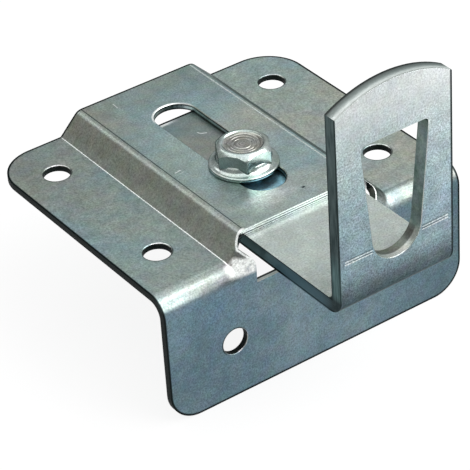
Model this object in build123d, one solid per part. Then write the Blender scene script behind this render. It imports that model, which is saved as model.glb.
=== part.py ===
"""Cabinet hanger bracket: a folded base, a sliding hook plate with a keyhole, and its clamp bolt."""
from build123d import *
import math
import os

# The frame: +X across the bracket, -Y the way the hook stands out, +Z up, away from the panel.
# The origin is the middle of the four wing holes, on the face that lies on the panel.

# Base sheet and its bends
sheet = 1.2
fold_inside = 2.6
channel_bend_inside = 0.9
foot_bend_radius = 0.4

# Base outline, with drops measured from the face that lies on the panel
base_width = 64.0
base_depth = 55.2
flange_drop = 24.7
wing_corner_radius = 8.0
flange_corner_radius = 6.0

# Screw holes, with the rounded entry that the punch leaves
hole_diameter = 5.0
punch_roll = 0.25
wing_hole_span = 48.0
wing_hole_pitch = 32.0
front_row_setback = 13.4
flange_hole_span = 36.0
flange_hole_drop = 13.2

# Hook plate, with heights measured from the underside of its leg
plate = 2.7
plate_width = 23.5
hook_bend_inside = 1.0
hook_reach = 22.6
hook_tail = 22.2
hook_side_height = 38.4
edge_roll = 0.15

# Keyhole in the upright
keyhole_top_width = 14.0
keyhole_foot_width = 10.1
keyhole_top_height = 31.4
keyhole_foot_height = 7.6
keyhole_corner_radius = 0.9

# Gaps that let the plate and the loosened bolt move
slide_gap = 0.05
thread_gap = 0.04
channel_side_gap = 0.2
window_side_gap = 1.0
window_under_gap = 4.45

# Channel pressed up between the wings to hold the plate's leg
channel_rise = 4.1
channel_wall_angle = 45.0

# Window in the fold, where the plate comes out
window_setback = 4.2
window_flare = 2.0
window_bend_radius = 2.5
window_corner_radius = 2.6

# Drawn collar that carries the thread and runs in the slot, and its travel from rest
thread_diameter = 6.0
collar_wall = 1.1
collar_mouth_chamfer = 0.7
collar_below_face = 0.2
travel_out = 5.5
travel_in = 20.9

# Clamp bolt
bolt_setback = 20.7
bolt_length = 5.0
tip_chamfer = 0.6
bolt_flange_diameter = 12.7
bolt_flange_edge = 0.6
bolt_flange_height = 1.5
head_height = 4.6
across_flats = 9.4
head_turn = 2.0
head_chamfer_angle = 35.0
dish_diameter = 7.8
dish_depth = 0.6
dish_slope = 0.8

# Places worked out from the sizes above
wing_top = sheet
channel_top = wing_top + channel_rise
channel_roof = channel_top - sheet
plate_top = channel_roof - slide_gap
plate_bottom = plate_top - plate
front_row_y = -wing_hole_pitch / 2
front_y = front_row_y - front_row_setback
back_y = front_y + base_depth
bolt_y = front_y + bolt_setback
hook_front_y = front_y - hook_reach
hook_back_y = bolt_y + hook_tail
collar_diameter = thread_diameter + 2 * (thread_gap + collar_wall)
slot_width = collar_diameter + 2 * slide_gap
half_bend = math.tan(math.radians(channel_wall_angle / 2))
crown_half = plate_width / 2 + channel_side_gap + (channel_bend_inside + sheet) * half_bend
foot_half = crown_half + channel_rise / math.tan(math.radians(channel_wall_angle))
fold_line = front_y + fold_inside + sheet + 0.03
past = 2 * sheet


def outline(points, rounds=None):
    """A closed face from corner points, with some of the corners rounded."""
    face = make_face(Polyline(*points, close=True))
    for (x, y), radius in (rounds or {}).items():
        corner = face.vertices().sort_by_distance((x, y, 0))[0]
        face = fillet(corner, radius)
    return face


def mirrored(*points):
    """Points on the right, then the same points on the left in the order that closes the outline."""
    return [*points, *((-x, y) for x, y in reversed(points))]


def both_sides(points, radius):
    """The same rounding for a point on the right and for its mirror image."""
    return {(side * x, y): radius for x, y in points for side in (1, -1)}


def front_view(face, y_from, y_to):
    """A face drawn in X and Z, run from one depth to another."""
    return extrude(Plane(origin=(0, y_to, 0), x_dir=(1, 0, 0), z_dir=(0, -1, 0)) * face, y_to - y_from)


def side_view(face, width):
    """A face drawn in Y and Z, run the same way to both sides of the middle."""
    return extrude(Plane.YZ * face, width / 2, both=True)


def plan_view(face, z_from, z_to):
    """A face drawn in X and Y, run up from one height to another."""
    return extrude(Pos(0, 0, z_from) * face, z_to - z_from)


def turned(profile):
    """A solid of revolution from a face drawn in radius and height."""
    return revolve(Plane.XZ * profile, Axis.Z)


def pierced(body, tool, axis, entry, finish, size):
    """Cuts a tool through the sheet and gives the rim on its entry side a fillet or a chamfer."""
    body_with_hole = body - tool
    rim = new_edges(body, tool, combined=body_with_hole)
    return finish(rim.filter_by_position(axis, entry - 0.01, entry + 0.01), size)


def hat_sheet(top_half, top, top_round, nose=None):
    """A hat-topped block hollowed to the sheet, with its front edge rounded first where a nose is given."""
    side = base_width / 2
    contour = mirrored((side, -flange_drop), (side, wing_top), (foot_half, wing_top), (top_half, top))
    bends = both_sides([(foot_half, wing_top)], foot_bend_radius)
    bends |= both_sides([(top_half, top)], top_round)
    block = front_view(outline(contour, bends), front_y, back_y)
    if nose:
        front_edges = block.faces().sort_by(Axis.Y)[0].edges()
        block = fillet(front_edges.filter_by(lambda edge: edge.center().Z > 0), nose)
    open_faces = [
        block.faces().sort_by(Axis.Y)[-1],
        block.faces().sort_by(Axis.Z)[0],
        block.faces().sort_by(Axis.X)[0],
        block.faces().sort_by(Axis.X)[-1],
    ]
    return offset(block, amount=-sheet, openings=open_faces)


def folded_sheet():
    """The sheet before it is pierced: the channel, and ahead of the fold line the round fold and the flange.

    Ahead of the fold line the window takes the channel's top away, so there the walls simply run on
    upwards, high enough for their rounded tops to clear the fold.
    """
    nose = fold_inside + sheet
    rise = 2.5 * nose
    tall_half = foot_half - rise / math.tan(math.radians(channel_wall_angle))
    plane = Plane(origin=(0, fold_line, 0), z_dir=(0, 1, 0))
    channel = hat_sheet(crown_half, channel_top, channel_bend_inside + sheet)
    front = hat_sheet(tall_half, wing_top + rise, 1.5 * nose, nose)
    return split(channel, plane, keep=Keep.TOP) + split(front, plane, keep=Keep.BOTTOM)


def blank_outline():
    """Everything inside the blank's outline: round wing corners behind, round flange corners below."""
    side = base_width / 2
    above = wing_top + 3 * (fold_inside + sheet)
    plan = outline(
        mirrored((side, front_y - past), (side, back_y)),
        both_sides([(side, back_y)], wing_corner_radius),
    )
    front = outline(
        mirrored((side, -flange_drop), (side, above)),
        both_sides([(side, -flange_drop)], flange_corner_radius),
    )
    return plan_view(plan, -flange_drop, above) & front_view(front, front_y - past, back_y + past)


def window():
    """The opening in the fold: upright sides that turn square to the channel's walls, then a straight lip."""
    side = plate_width / 2 + window_side_gap
    flare = side + window_flare
    slope = math.tan(math.radians(channel_wall_angle))
    flare_top = wing_top + (foot_half - flare) * slope
    flare_foot = flare_top - window_flare / slope
    foot = plate_bottom - window_under_gap
    lip_y = front_y + window_setback
    above = wing_top + 3 * (fold_inside + sheet)
    front = outline(
        mirrored((side, foot), (side, flare_foot), (flare, flare_top), (flare, above)),
        both_sides([(side, flare_foot)], window_bend_radius),
    )
    plan = outline(
        mirrored((flare, front_y - past), (flare, lip_y)),
        both_sides([(flare, lip_y)], window_corner_radius),
    )
    return front_view(front, front_y - past, lip_y) & plan_view(plan, foot, above)


def base_bracket():
    """The folded base: wings, channel with its slot, window and flange, all one sheet."""
    body = (folded_sheet() & blank_outline()) - window()
    slot = Rot(0, 0, 90) * SlotCenterToCenter(travel_out + travel_in, slot_width)
    slot = Pos(0, bolt_y + (travel_in - travel_out) / 2) * slot
    body = pierced(body, plan_view(slot, wing_top, channel_top + past), Axis.Z, channel_top, fillet, punch_roll)
    wing_hole = plan_view(Circle(hole_diameter / 2), -past, wing_top + past)
    for spot in GridLocations(wing_hole_span, wing_hole_pitch, 2, 2):
        body = pierced(body, spot * wing_hole, Axis.Z, wing_top, fillet, punch_roll)
    flange_hole = front_view(Circle(hole_diameter / 2), front_y - past, front_y + past)
    for spot in GridLocations(flange_hole_span, 0, 2, 1):
        placed = Pos(0, 0, -flange_hole_drop) * spot * flange_hole
        body = pierced(body, placed, Axis.Y, front_y, fillet, punch_roll)
    return body


def keyhole():
    """The tapered keyhole: a straight top edge, sides that close in, and a round foot."""
    foot = Pos(0, keyhole_foot_height + keyhole_foot_width / 2) * Circle(keyhole_foot_width / 2)
    top = Line((-keyhole_top_width / 2, keyhole_top_height), (keyhole_top_width / 2, keyhole_top_height))
    face = make_hull([*foot.edges(), top])
    corners = face.vertices().group_by(Axis.Y)[-1]
    return fillet(corners, keyhole_corner_radius)


def hook_plate():
    """The sliding plate: its leg, the arch-topped upright with the keyhole, and the threaded collar."""
    side = plate_width / 2
    peak = hook_side_height + plate_width - math.sqrt(plate_width ** 2 - side ** 2)
    inner_y = hook_front_y + plate
    profile = outline(
        [(hook_front_y, 0), (hook_back_y, 0), (hook_back_y, plate),
         (inner_y, plate), (inner_y, peak), (hook_front_y, peak)],
        {(hook_front_y, 0): hook_bend_inside + plate, (inner_y, plate): hook_bend_inside},
    )
    sides = Polyline((-side, hook_side_height), (-side, 0), (side, 0), (side, hook_side_height))
    arch = ThreePointArc((-side, hook_side_height), (0, peak), (side, hook_side_height))
    front = make_face([sides, arch])
    body = side_view(profile, plate_width) & front_view(front, hook_front_y, hook_back_y)
    cut = front_view(keyhole(), hook_front_y - past, inner_y + past)
    body = pierced(body, cut, Axis.Y, hook_front_y, fillet, edge_roll)
    collar_height = channel_top - collar_below_face - plate_bottom
    collar = plan_view(Circle(collar_diameter / 2), 0, collar_height)
    bore = plan_view(Circle(thread_diameter / 2 + thread_gap), -past, collar_height + past)
    body += Pos(0, bolt_y) * collar
    body = pierced(body, Pos(0, bolt_y) * bore, Axis.Z, 0, chamfer, collar_mouth_chamfer)
    return Pos(0, 0, plate_bottom) * body


def clamp_bolt():
    """The bolt: a dished hexagon on a sloping washer flange, and a short shank."""
    flange_radius = bolt_flange_diameter / 2
    rim = across_flats / 2
    corner = across_flats / math.sqrt(3)
    corner_height = head_height - (corner - rim) * math.tan(math.radians(head_chamfer_angle))
    dish = dish_diameter / 2
    floor = dish - dish_slope
    hexagon = Rot(0, 0, head_turn) * RegularPolygon(across_flats / 2, 6, major_radius=False)
    cap = outline(
        [(0, 0), (corner, 0), (corner, corner_height), (rim, head_height),
         (dish, head_height), (floor, head_height - dish_depth), (0, head_height - dish_depth)],
    )
    head = extrude(hexagon, head_height) & turned(cap)
    flange = outline(
        [(0, 0), (flange_radius, 0), (flange_radius, bolt_flange_edge),
         (corner, bolt_flange_height), (0, bolt_flange_height)],
    )
    radius = thread_diameter / 2
    shank = outline([
        (0, -bolt_length), (radius - tip_chamfer, -bolt_length), (radius, tip_chamfer - bolt_length),
        (radius, bolt_flange_edge), (0, bolt_flange_edge),
    ])
    bolt = head + turned(flange) + turned(shank)
    return Pos(0, bolt_y, channel_top + slide_gap) * bolt


def main():
    pieces = {"base_bracket": base_bracket(), "hook_plate": hook_plate(), "clamp_bolt": clamp_bolt()}
    os.makedirs("parts", exist_ok=True)
    for name, piece in pieces.items():
        export_step(piece, f"parts/{name}.step")
        box = piece.bounding_box()
        print(name, round(piece.volume, 1), len(piece.solids()), piece.is_valid, box.min, box.max)


main()
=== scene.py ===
import functools
import math

import bpy
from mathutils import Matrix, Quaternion, Vector


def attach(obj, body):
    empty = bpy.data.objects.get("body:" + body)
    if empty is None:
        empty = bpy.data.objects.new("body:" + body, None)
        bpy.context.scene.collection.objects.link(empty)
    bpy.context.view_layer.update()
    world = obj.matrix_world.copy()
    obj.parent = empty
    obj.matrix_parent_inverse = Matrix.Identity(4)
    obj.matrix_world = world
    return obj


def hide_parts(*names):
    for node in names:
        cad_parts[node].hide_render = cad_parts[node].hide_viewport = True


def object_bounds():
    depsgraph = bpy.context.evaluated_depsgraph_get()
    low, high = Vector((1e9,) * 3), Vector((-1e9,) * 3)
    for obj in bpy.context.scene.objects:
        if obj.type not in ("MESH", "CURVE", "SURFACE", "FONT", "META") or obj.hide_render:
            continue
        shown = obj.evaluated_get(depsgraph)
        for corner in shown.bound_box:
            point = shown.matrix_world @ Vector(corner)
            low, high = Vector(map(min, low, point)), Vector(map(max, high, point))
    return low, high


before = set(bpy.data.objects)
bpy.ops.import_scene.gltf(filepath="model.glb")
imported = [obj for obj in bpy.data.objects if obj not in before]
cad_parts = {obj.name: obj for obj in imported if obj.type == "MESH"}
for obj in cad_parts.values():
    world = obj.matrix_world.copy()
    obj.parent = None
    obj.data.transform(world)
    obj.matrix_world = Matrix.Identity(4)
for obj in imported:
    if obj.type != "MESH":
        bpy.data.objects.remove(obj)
cad_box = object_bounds()

MM = 0.001

# Sizes and places that the pieces and their finishes share, in millimetres
SIDE_X = 32.0
BACK_Y = 25.8
FLANGE_FRONT = -29.4
FLANGE_FOOT = -24.7
WING_CORNER = 8.0
FLANGE_CORNER = 6.0
WING_HOLE = (24.0, 16.0)
FLANGE_HOLE = (18.0, 13.2)
HOLE_RADIUS = 2.5
LIP_Y = -25.2
WINDOW_SIDE = 15.3
WINDOW_FOOT = -3.1
WINDOW_CORNER = (12.0, -27.75)
CHANNEL_TOP = 5.3
SLOT_HALF = 4.19
SLOT_END = 12.2
PLATE_SIDE = 11.75
PLATE_FRONT = -52.0
PLATE_INNER = -49.3
PLATE_UNDER = 1.35
PLATE_REAR = 13.5
KEYHOLE_TOP = 33.5
KEYHOLE_SIDE = 7.6
PRESS_LINES = (11.9, 12.45)
PRESS_SIDES = (5.1, 10.8)
PRESS_DEPTH = 0.12
BOLT_Y = -8.7
BOLT_SEAT = 5.35
ACROSS_FLATS = 9.4
HEAD_HEIGHT = 4.6
HEAD_START = 0.4
HEAD_TURN = 2.0
HEAD_CORNER = 0.3
THREAD_PITCH = 1.0
THREAD_TURNS = 4
TURNED_STEPS = 96

# A piece's finishes, in the order in which it carries them; rounded edges take the second
MAIN, EDGE, BRIGHT, WALL, PALE = range(5)

# The colour of thin dark lines painted along edges and rims
LINE_BLACK = (0.015, 0.02, 0.02)


# Camera

def photo_camera():
    """The camera at the photograph's viewing angle, by azimuth, elevation, roll and distance."""
    azimuth, elevation, roll = (math.radians(angle) for angle in (-33.580, 34.766, -3.887))
    distance, focal_px, frame_px = 441.866 * MM, 2513.62, 470
    target = Vector((-6.668, -14.334, -4.050)) * MM
    back = Vector((
        math.sin(azimuth) * math.cos(elevation),
        -math.cos(azimuth) * math.cos(elevation),
        math.sin(elevation),
    ))
    data = bpy.data.cameras.new("photo_camera")
    data.sensor_width = 36.0
    data.lens = focal_px / frame_px * data.sensor_width
    data.clip_start, data.clip_end = 0.01, 10.0
    camera = bpy.data.objects.new("photo_camera", data)
    bpy.context.scene.collection.objects.link(camera)
    camera.location = target + back * distance
    camera.rotation_mode = "QUATERNION"
    camera.rotation_quaternion = (-back).to_track_quat("-Z", "Y") @ Quaternion((0, 0, 1), roll)
    bpy.context.scene.camera = camera


# Finishes

class Finish:
    """A metal finish being mixed: each call adds a node and returns its output socket.

    A share is a number from 0 to 1, or a socket that gives one. Lengths are in millimetres.
    """

    def __init__(self, name):
        self.material = bpy.data.materials.new(name)
        self.material.use_nodes = True
        self.nodes = self.material.node_tree.nodes
        self.links = self.material.node_tree.links
        self.surface = self.nodes["Principled BSDF"]
        self.surface.inputs["Metallic"].default_value = 1.0
        self.surface.inputs["Specular Tint"].default_value = (0.45, 0.48, 0.48, 1)
        source = self.nodes.new("ShaderNodeTexCoord")
        self.spot = source.outputs["Object"]
        self.turn = source.outputs["Normal"]
        self.axes = {}

    def add(self, kind, output, inputs, **settings):
        node = self.nodes.new(kind)
        for key, value in settings.items():
            setattr(node, key, value)
        for key, value in inputs.items():
            if isinstance(value, bpy.types.NodeSocket):
                self.links.new(value, node.inputs[key])
            else:
                node.inputs[key].default_value = value
        return node.outputs[output]

    def place(self, stretch=(1, 1, 1), shift=(0, 0, 0)):
        """The place on the part, stretched along its axes and shifted."""
        scale = [value / MM for value in stretch]
        return self.add(
            "ShaderNodeMapping", "Vector", {"Vector": self.spot, "Scale": scale, "Location": shift})

    def split(self, name, vector):
        if name not in self.axes:
            self.axes[name] = self.add("ShaderNodeSeparateXYZ", "X", {"Vector": vector}).node
        return self.axes[name]

    def at(self, axis):
        """The place along one axis."""
        if "place" not in self.axes:
            self.split("place", self.place())
        return self.axes["place"].outputs[axis]

    def normal(self, axis):
        return self.split("normal", self.turn).outputs[axis]

    def vector(self, x, y, z=0.0):
        return self.add("ShaderNodeCombineXYZ", "Vector", {"X": x, "Y": y, "Z": z})

    def noise(self, size, detail=2.0, rough=0.5, stretch=(1, 1, 1), shift=(0, 0, 0), vector=None):
        """Soft noise whose blotches are about size across."""
        if vector is None:
            vector = self.place(stretch, shift)
        return self.add(
            "ShaderNodeTexNoise", "Fac",
            {"Vector": vector, "Scale": 0.6 / size, "Detail": detail, "Roughness": rough},
        )

    def level(self, value, low, high, to_low=0.0, to_high=1.0, smooth=False):
        """A value laid out from to_low at low to to_high at high."""
        return self.add(
            "ShaderNodeMapRange", "Result",
            {"Value": value, "From Min": low, "From Max": high, "To Min": to_low, "To Max": to_high},
            interpolation_type="SMOOTHSTEP" if smooth else "LINEAR",
        )

    def past(self, axis, low, high, to_low=0.0, to_high=1.0, smooth=False):
        """How far the place is along an axis, from to_low at low to to_high at high."""
        return self.level(self.at(axis), low, high, to_low, to_high, smooth)

    def facing(self, axis, low, high):
        """How far the surface faces along an axis, from 0 at low to 1 at high."""
        return self.level(self.normal(axis), low, high, smooth=True)

    def maths(self, operation, a, b=0.0):
        return self.add("ShaderNodeMath", "Value", {0: a, 1: b}, operation=operation)

    def minus(self, a, b):
        return self.maths("SUBTRACT", a, b)

    def unsigned(self, value):
        return self.maths("ABSOLUTE", value)

    def times(self, *shares):
        return functools.reduce(functools.partial(self.maths, "MULTIPLY"), shares)

    def most(self, *shares):
        return functools.reduce(functools.partial(self.maths, "MAXIMUM"), shares)

    def reach(self, a, b):
        """How far (a, b) lies from nought."""
        return self.add("ShaderNodeVectorMath", "Value", {0: self.vector(a, b)}, operation="LENGTH")

    def band(self, value, middle, half, soft):
        """One inside a band of values, nought outside it, with soft sides."""
        away = self.unsigned(self.minus(value, middle))
        return self.level(away, half + soft, half, smooth=True)

    def blend(self, share, a, b, mode="MIX"):
        """Colour a with colour b over it; share says how much of b."""
        node = self.nodes.new("ShaderNodeMix")
        node.data_type = "RGBA"
        node.blend_type = mode
        for key, value in ((0, share), (6, a), (7, b)):
            if isinstance(value, bpy.types.NodeSocket):
                self.links.new(value, node.inputs[key])
            elif key:
                node.inputs[key].default_value = (*value, 1)
            else:
                node.inputs[key].default_value = value
        return node.outputs[2]

    def painted(self, tint, *coats):
        """A tint with coats over it in turn, each a share and a colour."""
        for share, colour in coats:
            tint = self.blend(share, tint, colour)
        return tint

    def tinted(self, tint, *glazes):
        """A tint multiplied in turn by glazes, each a share and a colour."""
        for share, colour in glazes:
            tint = self.blend(share, tint, colour, "MULTIPLY")
        return tint

    def ramp(self, value, stops):
        """A colour that changes smoothly through (value, colour) stops."""
        low, high = stops[0][0], stops[-1][0]
        node = self.add("ShaderNodeValToRGB", "Color", {"Fac": self.level(value, low, high)}).node
        points = node.color_ramp.elements
        points[0].color = (*stops[0][1], 1)
        points[1].color = (*stops[-1][1], 1)
        for stop, colour in stops[1:-1]:
            points.new((stop - low) / (high - low)).color = (*colour, 1)
        return node.outputs["Color"]

    def tick(self, x, y, lean, length, width):
        """One on a short straight mark seen from above, leaning by lean degrees from the x axis."""
        c, s = math.cos(math.radians(lean)), math.sin(math.radians(lean))
        dx, dy = self.minus(self.at("X"), x), self.minus(self.at("Y"), y)
        along = self.maths("ADD", self.times(dx, c), self.times(dy, s))
        across = self.minus(self.times(dy, c), self.times(dx, s))
        return self.times(
            self.band(along, 0.0, length / 2, 0.2), self.band(across, 0.0, width / 2, 0.06))

    def rim(self, axis, pitch, lean):
        """A painted shade line round the holes at plus or minus pitch in x and axis, on lean's side of
        them.
        """
        offsets = [
            self.minus(place, self.times(self.maths("SIGN", place), half))
            for place, half in zip((self.at("X"), self.at(axis)), pitch)
        ]
        side = self.maths("ADD", self.times(offsets[0], lean[0]), self.times(offsets[1], lean[1]))
        ring = self.level(self.reach(*offsets), HOLE_RADIUS + 0.42, HOLE_RADIUS + 0.24)
        return self.times(ring, self.level(side, -0.8, 1.0))

    def bump(self, height, strength, depth, under=None):
        inputs = {"Height": height, "Strength": strength, "Distance": depth * MM}
        if under is not None:
            inputs["Normal"] = under
        return self.add("ShaderNodeBump", "Normal", inputs)

    def finish(self, colour, roughness, normal):
        self.links.new(colour, self.surface.inputs["Base Color"])
        self.links.new(roughness, self.surface.inputs["Roughness"])
        self.links.new(normal, self.surface.inputs["Normal"])
        return self.material


def zinc_tints(f, shift=(0, 0, 0)):
    """The plating's uneven tint: grey-green with cool and warm clouds."""
    cool = f.level(f.noise(8.0, 3.0, 0.55, shift=shift), 0.42, 0.66)
    warm = f.level(f.noise(12.0, 2.0, 0.5, shift=(31 + shift[0], 7, 12)), 0.46, 0.68, 0.0, 0.8)
    return f.painted(
        (0.330, 0.412, 0.392), (cool, (0.288, 0.398, 0.425)), (warm, (0.405, 0.418, 0.372)))


def grained(f, tint, share):
    """The spangle's fine speckle over a tint, with a coarser mottle under it."""
    speckle = f.level(f.noise(0.20, 2.0, 0.75), 0.30, 0.70, 0.46, 1.54)
    mottle = f.level(f.noise(1.5, 3.0, 0.6, shift=(5, 3, 9)), 0.3, 0.7, 0.82, 1.18)
    hues = f.add(
        "ShaderNodeTexNoise", "Color",
        {"Vector": f.place(shift=(8, 1, 4)), "Scale": 0.45, "Detail": 3.0})
    tint = f.blend(0.2, tint, hues, "SOFT_LIGHT")
    return f.blend(share, tint, f.blend(1.0, tint, f.times(speckle, mottle), "MULTIPLY"))


def satin(f, tint):
    """A satin surface: uneven gloss and a fine pitted skin."""
    rough = f.level(f.noise(2.0, 3.0, 0.6, shift=(3, 8, 1)), 0.3, 0.7, 0.29, 0.39)
    return f.finish(tint, rough, f.bump(f.noise(0.26, 3.0, 0.7), 0.35, 0.012))


def outline_depth(f, b, end, corner):
    """How far inside the sheet's round-cornered outline the place at (x, b) is."""
    across = f.most(f.minus(f.unsigned(f.at("X")), SIDE_X - corner), 0.0)
    along = f.most(f.minus(b, end - corner), 0.0)
    return f.minus(corner, f.reach(across, along))


def slot_front_highlight(f):
    """A painted highlight on the channel's top in front of the slot."""
    across = f.times(f.minus(f.at("X"), -2.9), 0.16)
    along = f.times(f.minus(f.at("Y"), -20.2), 0.34)
    return f.times(
        f.level(f.reach(across, along), 1.1, 0.1, smooth=True),
        f.facing("Z", 0.8, 0.95), f.level(f.noise(1.2, 2.0, shift=(6, 6, 6)), 0.2, 0.55))


def slot_rim_highlight(f):
    """A painted highlight along the rolled rim round the slot's rear end."""
    from_end = f.reach(f.at("X"), f.minus(f.at("Y"), SLOT_END))
    return f.times(
        f.level(from_end, SLOT_HALF + 0.46, SLOT_HALF + 0.34),
        f.past("Y", SLOT_END + 0.2, SLOT_END + 1.8),
        f.past("X", 3.2, 1.0, 0.3, 1.0), f.past("Z", 4, 5))


def window_painted_highlights(f):
    """A painted highlight beside the window and round its upper corners."""
    side = f.unsigned(f.at("X"))
    beside = f.times(
        f.past("Y", -26.6, -27.2), f.past("Z", -1.0, -0.3), f.past("Z", 2.3, 1.8),
        f.past("X", 2, -2, 0.12, 1.0), f.band(side, WINDOW_SIDE, 1.8, 1.2),
        f.level(f.noise(0.8, 2.0, stretch=(1, 2.5, 1)), 0.2, 0.42))
    from_corner = f.reach(f.minus(side, WINDOW_CORNER[0]), f.minus(f.at("Y"), WINDOW_CORNER[1]))
    above = f.times(
        f.level(from_corner, 3.18, 3.02), f.past("Y", -26.95, -26.75), f.level(side, 11.6, 12.2))
    below = f.times(
        f.level(f.minus(side, f.at("Z")), 12.0, 11.85),
        f.past("Y", -26.7, -26.9), f.past("Z", 1.4, 1.8))
    down = f.times(
        f.level(side, 13.25, 13.1), f.past("Y", -26.7, -27.0), f.past("Z", -0.6, 0.8))
    return f.most(beside, above, below, down)


def slate_front(f):
    """The flange's front: cloudy slate blue, painted dark as a painted reflection of the shaded floor,
    paler at its upper left, darker at the far left and the far right.
    """
    clouds = f.level(f.noise(6.0, 3.0, 0.6, shift=(2, 2, 2)), 0.35, 0.65)
    slate = f.tinted(
        f.blend(clouds, (0.112, 0.177, 0.215), (0.137, 0.200, 0.231)),
        (f.past("X", -20, -5), (1.32, 1.25, 1.22)),
        (f.times(f.past("X", -12, -20), f.past("Z", -14, -6)), (1.12, 1.15, 1.20)))
    return f.blend(f.past("X", 10, 26), slate, (0.115, 0.175, 0.206))


def channel_sides(f, tint):
    """The channel's sides with painted light: the near side painted brownish as a painted reflection,
    the far side painted dark as shade, and painted highlight and shade lines along the bends and the
    wall feet.
    """
    near = f.times(f.facing("X", -0.35, -0.65), f.past("Y", 26, -20, 1.0, 0.75))
    far = f.facing("X", 0.3, 0.6)
    bend = f.past("Z", 2.4, 2.8)
    foot = f.past("Z", 2.5, 1.9)
    return f.painted(
        tint,
        (near, (0.36, 0.37, 0.315)),
        (far, (0.12, 0.15, 0.145)),
        (f.times(far, f.past("Y", -18, -23)), (0.25, 0.29, 0.27)),
        (f.times(bend, f.band(f.normal("X"), -0.40, 0.18, 0.10)), (0.35, 0.39, 0.36)),
        (f.times(bend, f.band(f.normal("X"), -0.08, 0.03, 0.05)), (0.10, 0.125, 0.12)),
        (f.times(bend, f.band(f.normal("X"), 0.10, 0.05, 0.05)), (0.66, 0.72, 0.70)),
        (f.times(foot, near, 0.35), (0.50, 0.55, 0.50)),
        (f.times(foot, f.band(f.normal("X"), -0.30, 0.14, 0.08)), (0.95, 1.0, 0.98)))


def plated_sheet():
    """The folded base: satin zinc, slate blue on the flange's front, brownish up the channel, with
    painted light and shade on the flange, fold, channel, window, slot and holes.
    """
    f = Finish("plated_sheet")
    tint = f.tinted(
        zinc_tints(f),
        (f.past("X", -17, -5), (1.21, 1.20, 1.20)),
        (f.past("X", 3, 10), (0.93, 0.94, 0.95)),
        (f.past("X", 12, 22), (1.08, 1.02, 0.97)),
        (f.times(f.past("Y", 8, 22), f.past("Z", 3, 4)), (0.86, 0.82, 0.79)))
    on_channel = f.past("Z", 4, 5)
    scratches = f.most(
        f.tick(-10.42, -3.19, 8, 1.2, 0.22),
        f.times(f.tick(-10.06, -3.94, 7, 0.8, 0.2), 0.5),
        f.tick(-6.7, 22.4, 87, 1.6, 0.1))
    tint = f.painted(
        tint,
        # A painted highlight on the channel's top in front of the slot
        (f.times(slot_front_highlight(f), 0.6), (0.95, 0.99, 0.98)),
        (f.times(scratches, on_channel), (0.80, 0.85, 0.84)),
        (f.times(f.tick(3.5, -21.4, 0, 0.4, 0.4), on_channel), (0.05, 0.06, 0.07)))
    tint = channel_sides(f, tint)
    front = f.facing("Y", -0.80, -0.985)
    fold = f.times(f.facing("Y", -0.12, -0.3), f.facing("Y", -0.96, -0.85))
    brushed = f.level(f.noise(0.22, 3.0, 0.6, stretch=(0.05, 1, 1)), 0.5, 0.62, 0.0, 0.45)
    tint = f.painted(
        tint, (front, slate_front(f)), (f.times(fold, brushed), (0.20, 0.25, 0.26)))
    # Painted shade on the fold away from its left end, deeper to the right, so that its highlight
    # fades along it
    tint = f.tinted(
        tint,
        (f.times(fold, f.past("X", -28, -21)), (0.77, 0.72, 0.75)),
        (f.times(fold, f.past("X", 4, 16)), (0.66, 0.73, 0.71)))
    # A painted highlight by the window, made less metallic so that it shows pale
    painted_highlight = window_painted_highlights(f)
    f.links.new(f.level(painted_highlight, 0, 1, 1.0, 0.15), f.surface.inputs["Metallic"])
    tint = f.painted(
        tint,
        (painted_highlight, (0.86, 0.88, 0.86)),
        (f.times(f.past("X", -12, -26), f.past("Y", -6, 24), 0.3), (0.12, 0.15, 0.16)))
    # Painted shade along one side of each hole's rim
    hole_rim_shade = f.most(
        f.times(f.rim("Y", WING_HOLE, (0.0, -1.0)), f.facing("Z", 0.8, 0.95)),
        f.times(f.rim("Z", FLANGE_HOLE, (-0.7, 0.7)), front))
    # Painted shade: a dark line just inside the sheet's outer outline
    inside = f.maths(
        "MINIMUM", outline_depth(f, f.at("Y"), BACK_Y, WING_CORNER),
        outline_depth(f, f.times(f.at("Z"), -1.0), -FLANGE_FOOT, FLANGE_CORNER))
    return satin(f, f.painted(
        grained(f, tint, 0.6),
        (f.times(hole_rim_shade, 0.9), (0.012, 0.016, 0.016)),
        # A painted highlight on the slot's rear rim
        (slot_rim_highlight(f), (0.96, 1.0, 0.99)),
        (f.level(inside, 0.50, 0.30), (0.010, 0.014, 0.014))))


def upright_front(f):
    """The upright's front: a painted reflection, slate at the bend, paler up to its top and to the
    right.
    """
    front = f.ramp(f.at("Z"), [
        (1.4, (0.070, 0.095, 0.106)), (5.8, (0.099, 0.133, 0.147)), (8.9, (0.210, 0.289, 0.321)),
        (13.0, (0.240, 0.328, 0.373)), (22.7, (0.310, 0.407, 0.433)), (33.0, (0.443, 0.522, 0.529)),
        (40.0, (0.616, 0.661, 0.661)),
    ])
    return f.tinted(front, (f.past("X", 0, 9), (1.21, 1.18, 1.18)))


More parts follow.
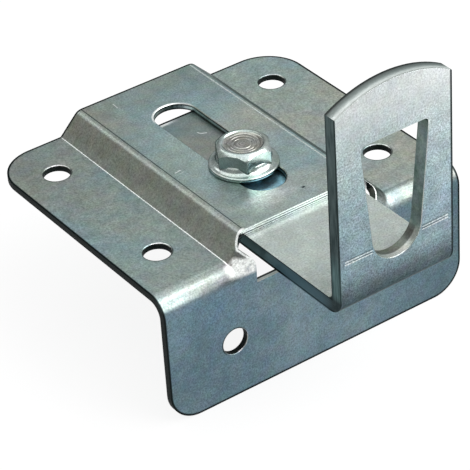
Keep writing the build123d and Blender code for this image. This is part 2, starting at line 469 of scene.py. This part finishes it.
def plated_plate():
    """The hook plate: pale at the upright's top and slate blue to its bend as a painted reflection,
    warm grey on the leg.
    """
    f = Finish("plated_plate")
    tint = f.painted(
        zinc_tints(f, (17, 0, 0)),
        (0.25, (0.10, 0.11, 0.115)),
        (f.past("Y", -24, -27, smooth=True), (0.60, 0.66, 0.625)))
    # Painted shade: the leg darker towards the upright
    tint = f.tinted(tint, (f.past("Y", -38, -46), (0.70, 0.70, 0.70)))
    up = f.facing("Z", 0.3, 0.6)
    # A painted reflection of the bolt's underside: a blue patch on the plate's top under the slot
    blue = f.times(
        f.band(f.at("Y"), -15.6, 1.2, 2.2), f.level(f.noise(1.6, shift=(4, 4, 4)), 0.25, 0.6))
    scratches = f.most(f.tick(0.80, 6.40, -60, 0.6, 0.16), f.tick(1.46, 5.79, -30, 0.9, 0.18))
    glint = f.times(f.past("Y", 12.2, 12.7), f.past("X", 0.5, -2.0))
    tint = f.painted(
        tint,
        (f.times(blue, up), (0.40, 0.76, 0.95)),
        (f.times(scratches, up), (0.85, 0.90, 0.90)),
        (f.times(glint, up), (0.95, 1.0, 0.99)),
        # Painted shade: a dark line along the plate's rear edge
        (f.times(f.past("Y", 12.95, 13.1), up), LINE_BLACK))
    outer = f.past("Y", -48.2, -49.8, smooth=True)
    front = f.most(f.facing("Y", -0.5, -0.8), f.times(outer, f.facing("Z", 0.5, 0.1)))
    # Painted shade on the press lines' downward faces and a painted highlight on their upward faces
    pressed = f.times(
        f.band(f.at("Z"), 12.17, 0.50, 0.05), f.past("Y", PLATE_FRONT + 0.5, PLATE_FRONT + 0.15))
    tint = f.painted(
        tint,
        (front, upright_front(f)),
        (f.times(pressed, f.facing("Z", -0.1, -0.3)), (0.045, 0.062, 0.066)),
        (f.times(pressed, f.facing("Z", 0.1, 0.3)), (0.58, 0.64, 0.65)),
        # Painted shade: a dark line down the upright's right edge
        (f.times(front, f.past("X", PLATE_SIDE - 0.5, PLATE_SIDE - 0.3)), (0.03, 0.04, 0.042)))
    grain = f.times(f.level(front, 0, 1, 0.42, 1.0), f.past("Z", 30, 37, 1.0, 0.5))
    return satin(f, grained(f, tint, grain))


def sheared_edge():
    """Cut faces: dark slate, streaked along the cut, warmer where they look up, where a painted
    highlight runs near the front and painted shade behind it; painted shade low down by the channel.
    """
    f = Finish("sheared_edge")
    from_front = f.minus(f.at("Y"), PLATE_FRONT)
    depth = f.maths("MINIMUM", from_front, f.minus(f.at("Z"), PLATE_UNDER))
    along = f.minus(f.at("Y"), f.at("Z"))
    streaks = f.noise(
        0.5, 4.0, 0.65, vector=f.vector(f.times(depth, 2.4), f.times(along, 0.16), f.at("X")))
    dark = f.blend(f.level(streaks, 0.32, 0.68), (0.042, 0.060, 0.061), (0.135, 0.176, 0.177))
    leg = f.times(f.past("Z", 6.0, 2.5, smooth=True), f.past("Y", -49.5, -46.5))
    dark = f.painted(dark, (f.times(leg, 0.6), (0.26, 0.41, 0.46)))
    heel = f.times(f.past("Z", 14, 10), f.past("Z", 4, 5.5), f.past("Y", -49.0, -49.6))
    # Painted shade low on the sides: deep towards the channel, milder near the upright
    low = f.past("Z", 4.4, 4.2)
    dark = f.tinted(
        dark,
        (heel, (1.6, 1.85, 1.82)),
        (f.times(low, f.past("Y", -36.5, -28)), (0.27, 0.28, 0.26)),
        (f.times(low, f.past("Y", -41, -46)), (0.74, 0.74, 0.76)))
    lines = f.most(f.band(depth, 0.30, 0.10, 0.12), f.level(depth, 2.35, 2.55))
    # Painted shade: near black by the lower edges under the channel
    under = f.times(f.level(depth, 0.55, 0.40), low, f.past("Y", -38, -35))
    dark = f.painted(dark, (f.times(lines, 0.7), LINE_BLACK), (under, (0.006, 0.008, 0.008)))
    # A painted highlight near the arch's front edge and painted shade towards its back
    arch = f.ramp(from_front, [
        (0.25, (0.60, 0.64, 0.62)), (0.45, (0.84, 0.89, 0.87)), (0.8, (0.78, 0.84, 0.82)),
        (1.2, (0.42, 0.47, 0.46)), (1.6, (0.26, 0.30, 0.29)), (2.1, (0.17, 0.195, 0.19)),
        (2.35, (0.04, 0.046, 0.045)), (2.7, (0.02, 0.025, 0.025)),
    ])
    arch = f.blend(f.level(streaks, 0.3, 0.7, 0.0, 0.35), arch, (0.10, 0.11, 0.10))
    tint = f.blend(f.facing("Z", 0.2, 0.8), dark, arch)
    return f.finish(tint, f.level(streaks, 0.2, 0.8, 0.36, 0.52), f.bump(streaks, 0.4, 0.03))


def dark_edge():
    """The base's outer edges: nearly black, painted shade along the cut edges."""
    f = Finish("dark_edge")
    f.surface.inputs["Metallic"].default_value = 0.0
    f.surface.inputs["Specular IOR Level"].default_value = 0.06
    streaks = f.noise(0.4, 3.0, 0.6)
    tint = f.blend(f.level(streaks, 0.3, 0.7), (0.004, 0.006, 0.006), (0.016, 0.021, 0.020))
    return f.finish(tint, f.level(streaks, 0.2, 0.8, 0.5, 0.65), f.bump(streaks, 0.3, 0.02))


def punched_wall():
    """The walls of the slot and the keyhole: grey-green, with a dark line along each rim; painted
    lighter on the slot's right wall, with painted shade under the keyhole's top and deep in its foot,
    and a painted highlight at the foot's front.
    """
    f = Finish("punched_wall")
    streaks = f.noise(0.45, 3.0, 0.65, stretch=(1.6, 0.5, 0.5))
    tint = f.blend(f.level(streaks, 0.3, 0.7), (0.138, 0.192, 0.181), (0.275, 0.35, 0.33))
    # Painted light: the slot's right wall lifted against its dark reflection
    slot_right = f.times(f.past("Y", -24, -20), f.past("X", 1, 3))
    tint = f.tinted(tint, (slot_right, (2.2, 2.1, 2.2)))
    lines = f.most(f.band(f.at("Z"), 5.02, 0.07, 0.1), f.band(f.at("Z"), 4.2, 0.16, 0.15))
    # Painted shade under the keyhole's top
    keyhole_top = f.times(f.past("Z", 29.5, 33), f.past("Y", -45, -48))
    # The keyhole's foot: a painted highlight at its front, painted shade deeper in
    deep = f.level(f.minus(f.at("Y"), PLATE_FRONT), 1.25, 1.0)
    keyhole_foot = f.blend(deep, (0.17, 0.185, 0.16), (0.50, 0.53, 0.49))
    tint = f.painted(
        tint,
        (f.times(lines, 0.85), LINE_BLACK),
        (f.times(keyhole_top, 0.75), (0.03, 0.045, 0.045)),
        (f.facing("Z", 0.25, 0.6), keyhole_foot))
    rough = f.level(streaks, 0.2, 0.8, 0.32, 0.46)
    return f.finish(grained(f, tint, 0.4), rough, f.bump(streaks, 0.35, 0.02))


def bright_edge():
    """Edges painted bright as highlights: the lip over the window and the plate's rolled rims."""
    f = Finish("bright_edge")
    # Painted shade lines across the lip; painted highlights on the lip and the arch
    upper_line = f.times(f.band(f.at("Z"), 4.93, 0.05, 0.09), f.past("X", -11.5, -7, 0.2, 1.0))
    lines = f.most(upper_line, f.band(f.at("Z"), 4.45, 0.07, 0.1))
    lines = f.times(lines, f.band(f.at("Y"), LIP_Y, 0.3, 0.1))
    arch = f.times(f.past("Z", 30, 32), f.past("Y", -50, -51))
    tint = f.painted(
        f.blend(f.noise(2.0), (0.34, 0.37, 0.36), (0.44, 0.475, 0.46)),
        (f.past("Y", -30, -28), (0.70, 0.735, 0.72)),
        (arch, (0.86, 0.92, 0.91)),
        (f.times(lines, 0.85), (0.06, 0.075, 0.075)))
    along = f.noise(0.35, 3.0, 0.7, stretch=(0.15, 1, 2))
    rough = f.level(along, 0.3, 0.7, 0.22, 0.32)
    return f.finish(grained(f, tint, 0.3), rough, f.bump(along, 0.25, 0.01))


def pale_edge():
    """Rims of the window painted pale as a highlight, with a painted shade line at the back of its
    foot.
    """
    f = Finish("pale_edge")
    f.surface.inputs["Metallic"].default_value = 0.2
    back = f.times(f.past("Y", -28.72, -28.62), f.past("Z", -2.2, -2.6))
    tint = f.painted(
        f.blend(f.noise(1.5), (0.74, 0.77, 0.76), (0.90, 0.92, 0.90)), (back, (0.03, 0.036, 0.036)))
    return f.finish(tint, f.level(f.noise(0.5), 0.3, 0.7, 0.3, 0.4), f.bump(f.noise(0.3), 0.2, 0.01))


def plated_bolt():
    """The bolt: bright zinc, painted darker on its right as painted shade, with a brownish dished top
    turned in fine rings.
    """
    f = Finish("plated_bolt")
    offset = f.minus(f.at("Y"), BOLT_Y)
    reach = f.reach(f.at("X"), offset)
    tint = f.blend(f.level(f.noise(2.4, 3.0), 0.35, 0.65), (0.36, 0.43, 0.41), (0.55, 0.61, 0.59))
    # Painted shade on the bolt's right side
    tint = f.tinted(tint, (f.past("X", 0.5, 3.5), (0.78, 0.77, 0.77)))
    top = f.times(
        f.level(reach, 3.7, 3.45, smooth=True), f.past("Z", BOLT_SEAT + 3.8, BOLT_SEAT + 3.9))
    turning = f.vector(f.times(reach, 3.0), f.times(f.at("X"), 0.3), f.times(offset, 0.3))
    rings = f.noise(0.5, 3.0, 0.7, vector=turning)
    dish = f.blend(f.level(rings, 0.30, 0.62), (0.185, 0.18, 0.158), (0.50, 0.505, 0.47))
    tint = grained(f, f.blend(top, tint, dish), 0.35)
    rough = f.level(f.noise(1.0, 3.0), 0.3, 0.7, 0.16, 0.28)
    skin = f.bump(f.noise(0.45, 3.0, 0.65), 0.35, 0.03)
    return f.finish(tint, rough, f.bump(rings, 0.5, 0.02, skin))


# Pieces

def alone(piece):
    """Only this piece is selected and active."""
    bpy.ops.object.select_all(action="DESELECT")
    piece.select_set(True)
    bpy.context.view_layer.objects.active = piece


def apply_all(piece):
    alone(piece)
    for modifier in list(piece.modifiers):
        bpy.ops.object.modifier_apply(modifier=modifier.name)


def select_faces(piece, wanted):
    """Selects the faces that are wanted, with their edges and corners, and nothing else."""
    mesh = piece.data
    for part in (*mesh.vertices, *mesh.edges, *mesh.polygons):
        part.select = False
    for face in mesh.polygons:
        if wanted(face):
            face.select = True
            for index in face.vertices:
                mesh.vertices[index].select = True
            for loop in face.loop_indices:
                mesh.edges[mesh.loops[loop].edge_index].select = True


def weigh_edges(piece, weight):
    """Gives each sharp edge its share of the rounding: weight(middle in millimetres, normals)."""
    mesh = piece.data
    beside = {}
    for face in mesh.polygons:
        for loop in face.loop_indices:
            beside.setdefault(mesh.loops[loop].edge_index, []).append(face.normal)
    shares = mesh.attributes.new("bevel_weight_edge", "FLOAT", "EDGE")
    for edge in mesh.edges:
        normals = beside.get(edge.index, [])
        if len(normals) == 2 and normals[0].angle(normals[1], 0) > math.radians(40):
            a, b = (mesh.vertices[i].co for i in edge.vertices)
            shares.data[edge.index].value = weight((a + b) / 2 / MM, normals)


def merge(piece, reach):
    """Merges the corners that lie within reach millimetres and turns all faces outwards."""
    alone(piece)
    bpy.ops.object.mode_set(mode="EDIT")
    bpy.ops.mesh.select_all(action="SELECT")
    bpy.ops.mesh.remove_doubles(threshold=reach * MM)
    bpy.ops.mesh.normals_make_consistent(inside=False)
    bpy.ops.object.mode_set(mode="OBJECT")


def soften(piece, width, angle, finishes, weight=None):
    """Merges a piece into clean faces and rounds its sharp edges by width millimetres.

    The rounded faces take the second of the piece's finishes.
    """
    for finish in finishes:
        piece.data.materials.append(finish)
    merge(piece, 0.002)
    alone(piece)
    bpy.ops.object.mode_set(mode="EDIT")
    bpy.ops.mesh.dissolve_limited(angle_limit=math.radians(0.3))
    bpy.ops.object.mode_set(mode="OBJECT")
    bevel = piece.modifiers.new("softened", "BEVEL")
    bevel.width = width * MM
    bevel.segments = 2
    bevel.limit_method = "WEIGHT" if weight else "ANGLE"
    bevel.angle_limit = math.radians(angle)
    bevel.material = EDGE
    if weight:
        weigh_edges(piece, weight)
    apply_all(piece)
    merge(piece, 0.006)


def shade(piece, angle, crisp=None):
    """Smooth shading that keeps flat faces flat.

    Faces for which crisp(centre in millimetres, normal) holds stay faceted.
    """
    alone(piece)
    bpy.ops.object.shade_smooth_by_angle(angle=math.radians(angle))
    if crisp:
        for face in piece.data.polygons:
            if crisp(face.center / MM, face.normal):
                face.use_smooth = False
    flats = piece.modifiers.new("flats", "WEIGHTED_NORMAL")
    flats.keep_sharp = True
    apply_all(piece)


def node_copy(node_name, name):
    """A copy of a CAD node's mesh as a piece of its own."""
    piece = bpy.data.objects.new(name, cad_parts[node_name].data.copy())
    bpy.context.scene.collection.objects.link(piece)
    piece.data.materials.clear()
    for face in piece.data.polygons:
        face.material_index = MAIN
    if piece.data.has_custom_normals:
        alone(piece)
        bpy.ops.mesh.customdata_custom_splitnormals_clear()
    return piece


def give_finishes(piece, choose):
    """Lets choose(centre in millimetres, normal, on a rounding or not) pick each face's finish."""
    for face in piece.data.polygons:
        face.material_index = choose(face.center / MM, face.normal, face.material_index == EDGE)


def outside(a, b, half, end, corner):
    """How far (a, b) is outside a round-cornered plate, half wide each side, that ends at b = end."""
    da, db = abs(a) - (half - corner), b - (end - corner)
    if da > 0 and db > 0:
        return math.hypot(da, db) - corner
    return max(da, db) - corner


def near_hole(a, b, place):
    """Whether (a, b) is on the rim of one of the holes at plus or minus place in both directions."""
    return abs(math.hypot(abs(a) - place[0], abs(b) - place[1]) - HOLE_RADIUS) < 0.1


def on_outline(x, y, z, reach):
    """Whether a place is on the sheet's outer edge, on the wings and channel or on the flange."""
    on_flat = z > -3 and outside(x, y, SIDE_X, BACK_Y, WING_CORNER) > -reach
    return on_flat or (
        y < FLANGE_FRONT + 5 and outside(x, -z, SIDE_X, -FLANGE_FOOT, FLANGE_CORNER) > -reach)


def folded_base():
    """The one-sheet base, its cut edges dark as painted shade, its lip and window bright as painted
    highlights.
    """
    piece = node_copy("base_bracket", "folded_base")
    finishes = [plated_sheet(), dark_edge(), bright_edge(), punched_wall(), pale_edge()]

    def share(middle, normals):
        x, y, z = middle
        seen = any(
            normal.z > 0.5 or normal.y < -0.5 or normal.x * x > 0.3 * abs(x) for normal in normals)
        round_window = (
            12 < abs(x) < WINDOW_SIDE and y < LIP_Y + 0.1 and WINDOW_FOOT < z < CHANNEL_TOP)
        return 1.0 if seen and (round_window or on_outline(x, y, z, 0.05)) else 0.3

    soften(piece, 0.36, 40, finishes, share)
    shade(piece, 40)

    def choose(centre, normal, rounded):
        x, y, z = centre
        if (abs(x) < WINDOW_SIDE and y < LIP_Y + 0.3
                and WINDOW_FOOT - 0.3 < z < CHANNEL_TOP - 0.02):
            if y > LIP_Y - 0.15:
                return BRIGHT
            if z < WINDOW_FOOT + 0.3 and normal.z > 0.3:
                return PALE
            if rounded:
                return PALE if z > 0 else EDGE
            if abs(normal.z) < 0.1 and y > FLANGE_FRONT + 0.3 and normal.y < -0.2:
                return BRIGHT if normal.y < -0.75 else EDGE
            if normal.x * x < -0.25 * abs(x) and abs(normal.y) < 0.5:
                return WALL
        if on_outline(x, y, z, 0.355):
            return EDGE
        if (near_hole(x, y, WING_HOLE)
                and (abs(normal.z) < 0.4 or normal.z < 0.98 and normal.y > 0.1)):
            return EDGE
        if (near_hole(x, z, FLANGE_HOLE)
                and (abs(normal.y) < 0.4 or normal.y > -0.98 and normal.z < -0.1)):
            return EDGE
        if abs(x) < SLOT_HALF + 0.1 and z > 4.0 and abs(normal.z) < 0.4:
            return WALL
        return MAIN

    give_finishes(piece, choose)
    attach(piece, "base")
    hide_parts("base_bracket")


def press_lines(piece):
    """Two shallow lines that the bending tool left across the upright's front."""
    low, high = PRESS_LINES
    cuts = [("Z", height) for height in (11.66, low, 12.15, high, 12.7)]
    cuts += [("X", side) for side in (-11.1, -10.75, -5.15, 5.15, 10.75, 11.1)]
    alone(piece)
    bpy.context.tool_settings.mesh_select_mode = (False, False, True)
    for axis, place in cuts:
        select_faces(piece, lambda face: (
            face.normal.y < -0.99 and abs(face.center.y / MM - PLATE_FRONT) < 0.05))
        bpy.ops.object.mode_set(mode="EDIT")
        point = Vector((place, 0, 0) if axis == "X" else (0, 0, place)) * MM
        bpy.ops.mesh.bisect(plane_co=point, plane_no=(axis == "X", 0, axis == "Z"))
        bpy.ops.object.mode_set(mode="OBJECT")
    for vertex in piece.data.vertices:
        x, y, z = vertex.co / MM
        on_line = min(abs(z - low), abs(z - high)) < 0.04
        if on_line and abs(y - PLATE_FRONT) < 0.02 and PRESS_SIDES[0] < abs(x) < PRESS_SIDES[1]:
            vertex.co.y += PRESS_DEPTH * MM


def keyhole_plate():
    """The hook plate, its sheared sides and rear end dark."""
    piece = node_copy("hook_plate", "keyhole_plate")
    finishes = [plated_plate(), sheared_edge(), bright_edge(), punched_wall()]

    def share(middle, normals):
        x, y, z = middle
        front = y < PLATE_FRONT + 0.05 and z > 8
        in_keyhole = abs(x) < KEYHOLE_SIDE and z < KEYHOLE_TOP
        on_arch = z > KEYHOLE_TOP and abs(x) < PLATE_SIDE - 0.3
        return 1.0 if front and (in_keyhole or on_arch) else 0.4

    def in_press_line(centre, normal):
        return (centre.y < PLATE_FRONT + 0.15 and 11.6 < centre.z < 12.8
                and abs(normal.x) < 0.1 and abs(normal.z) > 0.1)

    soften(piece, 0.30, 40, finishes, share)
    press_lines(piece)
    shade(piece, 40, in_press_line)

    def choose(centre, normal, rounded):
        x, y, z = centre
        through = y < PLATE_INNER - 0.05 and abs(normal.y) < 0.4 and z > 8
        rolled = (y < PLATE_FRONT + 0.2 and 0.3 < abs(normal.y) < 0.985 and z > 8
                  and not (11.4 < z < 13 and abs(normal.x) < 0.3))
        in_keyhole = abs(x) < KEYHOLE_SIDE and z < KEYHOLE_TOP
        if rolled and in_keyhole and normal.z < -0.3 and x > 1:
            return EDGE
        if rolled and (z > KEYHOLE_TOP or in_keyhole or x < 0):
            return BRIGHT
        if through and in_keyhole:
            return WALL
        if through or abs(x) > PLATE_SIDE - 0.02 or y > PLATE_REAR - 0.15:
            return EDGE
        return MAIN

    give_finishes(piece, choose)
    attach(piece, "slider")
    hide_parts("hook_plate")


def bolt_place(height):
    return Vector((0, BOLT_Y, BOLT_SEAT + height)) * MM


def turned(name, rings):
    """A closed turned shape about the bolt's axis, drawn out through (radius, height) rings."""
    bpy.ops.object.select_all(action="DESELECT")
    radius, height = rings[0]
    bpy.ops.mesh.primitive_circle_add(
        vertices=TURNED_STEPS, radius=radius * MM, fill_type="NGON", location=bolt_place(height))
    piece = bpy.context.object
    piece.name = name
    bpy.ops.object.transform_apply(location=True)
    bpy.ops.object.mode_set(mode="EDIT")
    bpy.ops.mesh.select_mode(type="EDGE")
    bpy.ops.mesh.select_all(action="SELECT")
    for next_radius, next_height in rings[1:]:
        bpy.ops.mesh.extrude_edges_move(
            TRANSFORM_OT_translate={"value": (0, 0, (next_height - height) * MM)})
        share = next_radius / radius
        bpy.ops.transform.resize(value=(share, share, 1), center_override=bolt_place(next_height))
        radius, height = next_radius, next_height
    bpy.ops.mesh.edge_face_add()
    bpy.ops.mesh.select_all(action="SELECT")
    bpy.ops.mesh.normals_make_consistent(inside=False)
    bpy.ops.object.mode_set(mode="OBJECT")
    return piece


def put_in_order(piece):
    """Rebuilds a mesh with its corners and faces in the order of their places.

    Cutting and joining leave them in any order, so that later steps would differ from run to run.
    """
    mesh = piece.data
    spots = [tuple(round(length / MM, 5) for length in corner.co) for corner in mesh.vertices]
    order = sorted(range(len(spots)), key=spots.__getitem__)
    rank = {old: new for new, old in enumerate(order)}
    faces = []
    for face in mesh.polygons:
        ring = [rank[corner] for corner in face.vertices]
        first = ring.index(min(ring))
        faces.append(ring[first:] + ring[:first])
    piece.data = bpy.data.meshes.new(mesh.name)
    piece.data.from_pydata([mesh.vertices[corner].co for corner in order], [], sorted(faces))
    bpy.data.meshes.remove(mesh)


def join_by(piece, other, operation):
    """Cuts or joins two closed shapes and deletes the second."""
    cut = piece.modifiers.new(operation.lower(), "BOOLEAN")
    cut.operation = operation
    cut.object = other
    cut.solver = "EXACT"
    apply_all(piece)
    bpy.data.objects.remove(other)
    put_in_order(piece)


def hexagon():
    """The hexagon's bar, with its upright corners rounded."""
    bpy.ops.object.select_all(action="DESELECT")
    bpy.ops.mesh.primitive_cylinder_add(
        vertices=6, radius=ACROSS_FLATS / math.sqrt(3) * MM, depth=HEAD_HEIGHT * MM,
        location=bolt_place(HEAD_HEIGHT / 2 + HEAD_START),
        rotation=(0, 0, math.radians(HEAD_TURN + 30)))
    bar = bpy.context.object
    bpy.ops.object.transform_apply(location=True, rotation=True)
    points = bar.data.vertices
    for edge in bar.data.edges:
        low, high = (points[i].co for i in edge.vertices)
        edge.select = abs(low.z - high.z) > 1 * MM
    for face in bar.data.polygons:
        face.select = False
    bpy.ops.object.mode_set(mode="EDIT")
    bpy.ops.mesh.select_mode(type="EDGE")
    bpy.ops.mesh.bevel(offset=HEAD_CORNER * MM, segments=4, profile=0.5)
    bpy.ops.object.mode_set(mode="OBJECT")
    return bar


def clamp_bolt():
    """The bolt: a crowned hexagon with a dished top, a rolled washer flange and a shank."""
    crown = turned("crown", [
        (5.6, 0.5), (5.6, 2.8), (5.45, 3.3), (5.25, 3.62), (5.02, 3.88), (4.8, 4.08), (4.6, 4.25),
        (4.42, 4.39), (4.24, 4.5), (4.06, 4.57), (3.92, 4.57), (3.8, 4.51), (3.7, 4.41),
        (3.6, 4.33), (3.46, 4.27), (3.3, 4.24), (3.1, 4.22), (3.02, 4.17), (2.94, 4.22),
        (2.45, 4.2), (2.37, 4.15), (2.29, 4.2), (1.7, 4.18), (1.62, 4.13), (1.54, 4.18),
        (0.9, 4.17),
    ])
    head = hexagon()
    join_by(head, crown, "INTERSECT")
    groove = [(2.94, 0.0), (2.94, 0.14), (2.6, 0.48), (2.6, 0.62), (2.94, 0.96)]
    thread = [
        (radius, -4.4 + THREAD_PITCH * turn + rise * THREAD_PITCH)
        for turn in range(THREAD_TURNS) for radius, rise in groove
    ]
    flange = turned("flange", [
        (2.4, -5.0), (2.75, -4.65), *thread, (2.9, 0.06), (3.1, 0.02), (6.1, 0.02), (6.22, 0.06),
        (6.31, 0.15), (6.34, 0.28), (6.34, 0.44), (6.31, 0.58), (6.22, 0.68), (6.08, 0.74),
        (5.94, 0.76), (5.8, 0.79), (5.6, 0.87), (5.4, 0.98), (5.22, 1.12), (5.08, 1.28),
        (4.97, 1.46), (4.89, 1.66), (4.83, 1.88), (4.6, 2.1),
    ])
    join_by(head, flange, "UNION")
    head.name = "crowned_bolt"
    head.data.materials.clear()
    soften(head, 0.14, 28, [plated_bolt()])
    shade(head, 28)
    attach(head, "bolt")
    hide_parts("clamp_bolt")


# Stage and light

def floor_finish():
    """A pale matt floor that glows softly to the camera and in what mirrors it."""
    material = bpy.data.materials.new("pale_floor")
    material.use_nodes = True
    nodes, links = material.node_tree.nodes, material.node_tree.links
    principled = nodes["Principled BSDF"]
    principled.inputs["Base Color"].default_value = (0.9, 0.9, 0.9, 1)
    principled.inputs["Roughness"].default_value = 0.8
    rays = nodes.new("ShaderNodeLightPath")
    seen = rays.outputs["Is Camera Ray"]
    for other in ("Is Glossy Ray", "Is Transmission Ray"):
        both = nodes.new("ShaderNodeMath")
        both.operation = "MAXIMUM"
        links.new(seen, both.inputs[0])
        links.new(rays.outputs[other], both.inputs[1])
        seen = both.outputs[0]
    share = nodes.new("ShaderNodeMath")
    share.operation = "MULTIPLY"
    share.inputs[1].default_value = 0.88
    links.new(seen, share.inputs[0])
    glow = nodes.new("ShaderNodeEmission")
    mixed = nodes.new("ShaderNodeMixShader")
    links.new(share.outputs[0], mixed.inputs[0])
    links.new(principled.outputs[0], mixed.inputs[1])
    links.new(glow.outputs[0], mixed.inputs[2])
    links.new(mixed.outputs[0], nodes["Material Output"].inputs["Surface"])
    return material


def stage():
    """A plain pale floor under the flange's lower edge."""
    bpy.ops.object.select_all(action="DESELECT")
    bpy.ops.mesh.primitive_plane_add(size=4, location=(0, 0, cad_box[0].z - 0.1 * MM))
    floor = bpy.context.object
    floor.name = "floor"
    bpy.ops.object.transform_apply(location=True)
    floor.data.materials.append(floor_finish())


def soft_light(name, place, width, height, power):
    """A rectangular lamp that points at the part."""
    data = bpy.data.lights.new(name, "AREA")
    data.shape = "RECTANGLE"
    data.size, data.size_y = width, height
    data.energy = power
    lamp = bpy.data.objects.new(name, data)
    bpy.context.scene.collection.objects.link(lamp)
    lamp.location = place
    lamp.rotation_mode = "QUATERNION"
    lamp.rotation_quaternion = (-Vector(place)).to_track_quat("-Z", "Y")


def studio():
    """A pale grey room, brighter to the right, with lamps above, in front and behind."""
    world = bpy.data.worlds.new("studio")
    bpy.context.scene.world = world
    world.use_nodes = True
    nodes, links = world.node_tree.nodes, world.node_tree.links
    direction = nodes.new("ShaderNodeTexCoord")
    axes = nodes.new("ShaderNodeSeparateXYZ")
    ramp = nodes.new("ShaderNodeMapRange")
    for name, value in (("From Min", 0.1), ("From Max", 0.7), ("To Min", 0.37), ("To Max", 0.80)):
        ramp.inputs[name].default_value = value
    links.new(direction.outputs["Generated"], axes.inputs["Vector"])
    links.new(axes.outputs["X"], ramp.inputs["Value"])
    links.new(ramp.outputs["Result"], nodes["Background"].inputs["Strength"])
    nodes["Background"].inputs["Color"].default_value = (0.97, 1.0, 1.0, 1)
    soft_light("top_soft", (-0.1, 0.0, 1.2), 1.9, 1.4, 10.5)
    soft_light("front_soft", (0.42, -0.46, 0.54), 0.9, 0.8, 9)
    soft_light("back_strip", (-0.24, 0.8, 0.74), 0.34, 0.26, 0.39)


bpy.context.scene.view_settings.view_transform = "Standard"
photo_camera()
folded_base()
keyhole_plate()
clamp_bolt()
stage()
studio()
